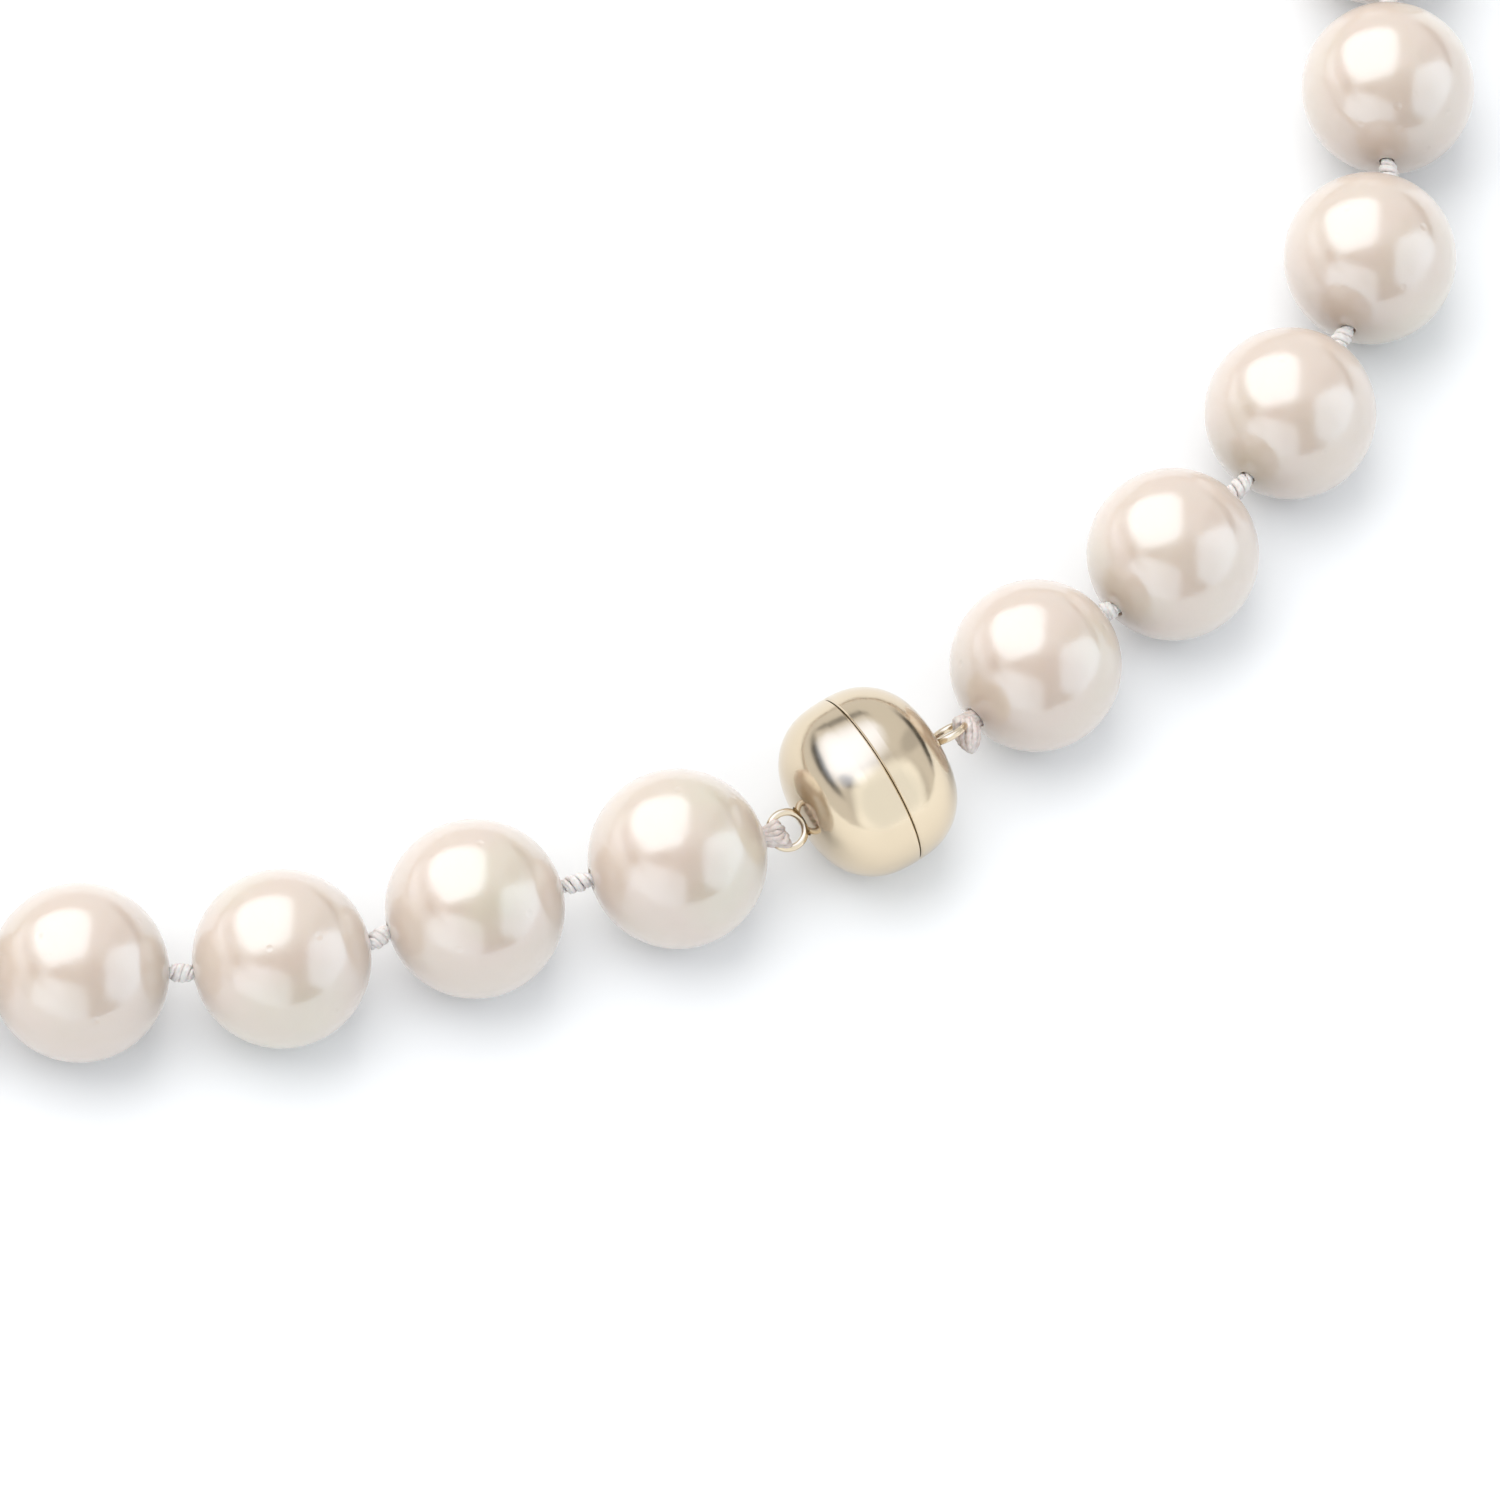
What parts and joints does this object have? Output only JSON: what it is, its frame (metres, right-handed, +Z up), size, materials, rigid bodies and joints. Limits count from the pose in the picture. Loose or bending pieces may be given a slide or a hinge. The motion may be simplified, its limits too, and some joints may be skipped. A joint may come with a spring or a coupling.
{
  "type": "pearl necklace",
  "caption": "Knotted strand of round pearls in a closed loop with a ball-shaped magnetic clasp on two swivel eyes.",
  "frame": {"origin": "on the surface it lies on, under the middle of its box", "axes": "+Z up, the clasp lies towards -Y and +X, the left half of the clasp faces -X"},
  "size_m": [0.1502, 0.1416, 0.0102],
  "materials": {
    "pearl": "creamy white nacre with a rosy overtone, high lustre",
    "silk": "twisted white silk",
    "gold": "polished pale yellow gold",
    "cup_steel": "turned steel",
    "magnet": "nickel-plated magnet"
  },
  "bodies": {
    "bead_19": {"pearl_19": "pearl", "silk_thread": "silk"},
    "bead_01": {"pearl_01": "pearl", "end_loop_left": "silk"},
    "bead_02": {"pearl_02": "pearl"},
    "bead_03": {"pearl_03": "pearl"},
    "bead_04": {"pearl_04": "pearl"},
    "bead_05": {"pearl_05": "pearl"},
    "bead_06": {"pearl_06": "pearl"},
    "bead_07": {"pearl_07": "pearl"},
    "bead_08": {"pearl_08": "pearl"},
    "bead_09": {"pearl_09": "pearl"},
    "bead_10": {"pearl_10": "pearl"},
    "bead_11": {"pearl_11": "pearl"},
    "bead_12": {"pearl_12": "pearl"},
    "bead_13": {"pearl_13": "pearl"},
    "bead_14": {"pearl_14": "pearl"},
    "bead_15": {"pearl_15": "pearl"},
    "bead_16": {"pearl_16": "pearl"},
    "bead_17": {"pearl_17": "pearl"},
    "bead_18": {"pearl_18": "pearl"},
    "bead_20": {"pearl_20": "pearl"},
    "bead_21": {"pearl_21": "pearl"},
    "bead_22": {"pearl_22": "pearl"},
    "bead_23": {"pearl_23": "pearl"},
    "bead_24": {"pearl_24": "pearl"},
    "bead_25": {"pearl_25": "pearl"},
    "bead_26": {"pearl_26": "pearl"},
    "bead_27": {"pearl_27": "pearl"},
    "bead_28": {"pearl_28": "pearl"},
    "bead_29": {"pearl_29": "pearl"},
    "bead_30": {"pearl_30": "pearl"},
    "bead_31": {"pearl_31": "pearl"},
    "bead_32": {"pearl_32": "pearl"},
    "bead_33": {"pearl_33": "pearl"},
    "bead_34": {"pearl_34": "pearl"},
    "bead_35": {"pearl_35": "pearl"},
    "bead_36": {"pearl_36": "pearl"},
    "bead_37": {"pearl_37": "pearl"},
    "bead_38": {"pearl_38": "pearl", "end_loop_right": "silk"},
    "eye_left": {"swivel_eye_left": "gold"},
    "clasp_left": {"clasp_shell_left": "gold", "magnet_cup_left": "cup_steel", "magnet_left": "magnet"},
    "eye_right": {"swivel_eye_right": "gold"},
    "clasp_right": {"clasp_shell_right": "gold", "magnet_cup_right": "cup_steel", "magnet_right": "magnet"}
  },
  "joints": [
    {"name": "clasp_left_turn", "type": "hinge", "parent": "eye_left", "child": "clasp_left", "pos_m": [0.04141, -0.05427, 0.00511], "axis": [0.8417, 0.5342, 0.0785], "continuous": true},
    {"name": "clasp_right_turn", "type": "hinge", "parent": "eye_right", "child": "clasp_right", "pos_m": [0.04141, -0.05427, 0.00511], "axis": [0.8417, 0.5342, 0.0785], "continuous": true},
    {"name": "knot_18_19", "type": "hinge", "parent": "bead_19", "child": "bead_18", "pos_m": [-0.04982, 0.04801, 0.00485], "axis": [0, 0, -1], "range_deg": [0, 30], "deforming": ["silk_thread"]},
    {"name": "knot_17_18", "type": "hinge", "parent": "bead_18", "child": "bead_17", "pos_m": [-0.05724, 0.03982, 0.00483], "axis": [0, 0, 1], "range_deg": [-30, 0], "deforming": ["silk_thread"]},
    {"name": "knot_16_17", "type": "hinge", "parent": "bead_17", "child": "bead_16", "pos_m": [-0.06309, 0.03064, 0.00485], "axis": [0, 0, -1], "range_deg": [0, 30], "deforming": ["silk_thread"]},
    {"name": "knot_15_16", "type": "hinge", "parent": "bead_16", "child": "bead_15", "pos_m": [-0.06739, 0.0204, 0.00485], "axis": [0, 0, 1], "range_deg": [-30, 0], "deforming": ["silk_thread"]},
    {"name": "knot_14_15", "type": "hinge", "parent": "bead_15", "child": "bead_14", "pos_m": [-0.06987, 0.00973, 0.00484], "axis": [0, 0, -1], "range_deg": [0, 30], "deforming": ["silk_thread"]},
    {"name": "knot_13_14", "type": "hinge", "parent": "bead_14", "child": "bead_13", "pos_m": [-0.07049, -0.00124, 0.00486], "axis": [0, 0, 1], "range_deg": [-30, 0], "deforming": ["silk_thread"]},
    {"name": "knot_12_13", "type": "hinge", "parent": "bead_13", "child": "bead_12", "pos_m": [-0.06924, -0.01228, 0.00485], "axis": [0, 0, -1], "range_deg": [0, 30], "deforming": ["silk_thread"]},
    {"name": "knot_11_12", "type": "hinge", "parent": "bead_12", "child": "bead_11", "pos_m": [-0.0662, -0.02276, 0.00486], "axis": [0, 0, 1], "range_deg": [-30, 0], "deforming": ["silk_thread"]},
    {"name": "knot_10_11", "type": "hinge", "parent": "bead_11", "child": "bead_10", "pos_m": [-0.06133, -0.03276, 0.00487], "axis": [0, 0, -1], "range_deg": [0, 30], "deforming": ["silk_thread"]},
    {"name": "knot_09_10", "type": "hinge", "parent": "bead_10", "child": "bead_09", "pos_m": [-0.05495, -0.04174, 0.00485], "axis": [0, 0, 1], "range_deg": [-30, 0], "deforming": ["silk_thread"]},
    {"name": "knot_08_09", "type": "hinge", "parent": "bead_09", "child": "bead_08", "pos_m": [-0.04718, -0.04951, 0.00488], "axis": [0, 0, -1], "range_deg": [0, 30], "deforming": ["silk_thread"]},
    {"name": "knot_07_08", "type": "hinge", "parent": "bead_08", "child": "bead_07", "pos_m": [-0.03813, -0.05603, 0.00487], "axis": [0, 0, 1], "range_deg": [-30, 0], "deforming": ["silk_thread"]},
    {"name": "knot_06_07", "type": "hinge", "parent": "bead_07", "child": "bead_06", "pos_m": [-0.02833, -0.06093, 0.00487], "axis": [0, 0, -1], "range_deg": [0, 30], "deforming": ["silk_thread"]},
    {"name": "knot_05_06", "type": "hinge", "parent": "bead_06", "child": "bead_05", "pos_m": [-0.01773, -0.06426, 0.00489], "axis": [0, 0, 1], "range_deg": [-30, 0], "deforming": ["silk_thread"]},
    {"name": "knot_04_05", "type": "hinge", "parent": "bead_05", "child": "bead_04", "pos_m": [-0.00676, -0.06592, 0.00488], "axis": [0, 0, -1], "range_deg": [0, 30], "deforming": ["silk_thread"]},
    {"name": "knot_03_04", "type": "hinge", "parent": "bead_04", "child": "bead_03", "pos_m": [0.00425, -0.06596, 0.00488], "axis": [0, 0, 1], "range_deg": [-30, 0], "deforming": ["silk_thread"]},
    {"name": "knot_02_03", "type": "hinge", "parent": "bead_03", "child": "bead_02", "pos_m": [0.01493, -0.06379, 0.00488], "axis": [0, 0, -1], "range_deg": [0, 30], "deforming": ["silk_thread"]},
    {"name": "knot_01_02", "type": "hinge", "parent": "bead_02", "child": "bead_01", "pos_m": [0.02558, -0.06045, 0.0049], "axis": [0, 0, -1], "range_deg": [0, 30], "deforming": ["silk_thread"]},
    {"name": "eye_left_swing", "type": "hinge", "parent": "bead_01", "child": "eye_left", "pos_m": [0.0362, -0.05758, 0.00462], "axis": [0, 0, -1], "range_deg": [0, 30], "deforming": ["end_loop_left"]},
    {"name": "knot_19_20", "type": "hinge", "parent": "bead_19", "child": "bead_20", "pos_m": [-0.0412, 0.05483, 0.00482], "axis": [0, 0, 1], "range_deg": [0, 30], "deforming": ["silk_thread"]},
    {"name": "knot_20_21", "type": "hinge", "parent": "bead_20", "child": "bead_21", "pos_m": [-0.03167, 0.06009, 0.00483], "axis": [0, 0, -1], "range_deg": [-30, 0], "deforming": ["silk_thread"]},
    {"name": "knot_21_22", "type": "hinge", "parent": "bead_21", "child": "bead_22", "pos_m": [-0.02124, 0.06383, 0.00483], "axis": [0, 0, 1], "range_deg": [0, 30], "deforming": ["silk_thread"]},
    {"name": "knot_22_23", "type": "hinge", "parent": "bead_22", "child": "bead_23", "pos_m": [-0.01056, 0.06582, 0.00481], "axis": [0, 0, -1], "range_deg": [-30, 0], "deforming": ["silk_thread"]},
    {"name": "knot_23_24", "type": "hinge", "parent": "bead_23", "child": "bead_24", "pos_m": [0.00041, 0.06611, 0.00483], "axis": [0, 0, 1], "range_deg": [0, 30], "deforming": ["silk_thread"]},
    {"name": "knot_24_25", "type": "hinge", "parent": "bead_24", "child": "bead_25", "pos_m": [0.01132, 0.06474, 0.00481], "axis": [0, 0, -1], "range_deg": [-30, 0], "deforming": ["silk_thread"]},
    {"name": "knot_25_26", "type": "hinge", "parent": "bead_25", "child": "bead_26", "pos_m": [0.02173, 0.06176, 0.00481], "axis": [0, 0, 1], "range_deg": [0, 30], "deforming": ["silk_thread"]},
    {"name": "knot_26_27", "type": "hinge", "parent": "bead_26", "child": "bead_27", "pos_m": [0.03177, 0.05718, 0.00482], "axis": [0, 0, -1], "range_deg": [-30, 0], "deforming": ["silk_thread"]},
    {"name": "knot_27_28", "type": "hinge", "parent": "bead_27", "child": "bead_28", "pos_m": [0.04088, 0.05127, 0.00479], "axis": [0, 0, 1], "range_deg": [0, 30], "deforming": ["silk_thread"]},
    {"name": "knot_28_29", "type": "hinge", "parent": "bead_28", "child": "bead_29", "pos_m": [0.04905, 0.04406, 0.00481], "axis": [0, 0, -1], "range_deg": [-30, 0], "deforming": ["silk_thread"]},
    {"name": "knot_29_30", "type": "hinge", "parent": "bead_29", "child": "bead_30", "pos_m": [0.05616, 0.03568, 0.0048], "axis": [0, 0, 1], "range_deg": [0, 30], "deforming": ["silk_thread"]},
    {"name": "knot_30_31", "type": "hinge", "parent": "bead_30", "child": "bead_31", "pos_m": [0.06186, 0.02653, 0.00479], "axis": [0, 0, -1], "range_deg": [-30, 0], "deforming": ["silk_thread"]},
    {"name": "knot_31_32", "type": "hinge", "parent": "bead_31", "child": "bead_32", "pos_m": [0.06626, 0.01647, 0.0048], "axis": [0, 0, 1], "range_deg": [0, 30], "deforming": ["silk_thread"]},
    {"name": "knot_32_33", "type": "hinge", "parent": "bead_32", "child": "bead_33", "pos_m": [0.06913, 0.00599, 0.00478], "axis": [0, 0, -1], "range_deg": [-30, 0], "deforming": ["silk_thread"]},
    {"name": "knot_33_34", "type": "hinge", "parent": "bead_33", "child": "bead_34", "pos_m": [0.07041, -0.00476, 0.00478], "axis": [0, 0, 1], "range_deg": [0, 30], "deforming": ["silk_thread"]},
    {"name": "knot_34_35", "type": "hinge", "parent": "bead_34", "child": "bead_35", "pos_m": [0.07029, -0.01579, 0.00477], "axis": [0, 0, -1], "range_deg": [-30, 0], "deforming": ["silk_thread"]},
    {"name": "knot_35_36", "type": "hinge", "parent": "bead_35", "child": "bead_36", "pos_m": [0.06748, -0.02631, 0.00475], "axis": [0, 0, 1], "range_deg": [0, 30], "deforming": ["silk_thread"]},
    {"name": "knot_36_37", "type": "hinge", "parent": "bead_36", "child": "bead_37", "pos_m": [0.06177, -0.03569, 0.00473], "axis": [0, 0, -1], "range_deg": [-30, 0], "deforming": ["silk_thread"]},
    {"name": "knot_37_38", "type": "hinge", "parent": "bead_37", "child": "bead_38", "pos_m": [0.05446, -0.04345, 0.00473], "axis": [0, 0, 1], "range_deg": [0, 30], "deforming": ["silk_thread"]},
    {"name": "eye_right_swing", "type": "hinge", "parent": "bead_38", "child": "eye_right", "pos_m": [0.04662, -0.05097, 0.00559], "axis": [0, 0, 1], "range_deg": [0, 30], "deforming": ["end_loop_right"]}
  ],
  "couplings": [
    {"joint": "knot_01_02", "follows": "knot_18_19", "ratio": 1},
    {"joint": "eye_left_swing", "follows": "knot_18_19", "ratio": 1},
    {"joint": "knot_37_38", "follows": "knot_19_20", "ratio": 1},
    {"joint": "eye_right_swing", "follows": "knot_19_20", "ratio": 1}
  ]
}
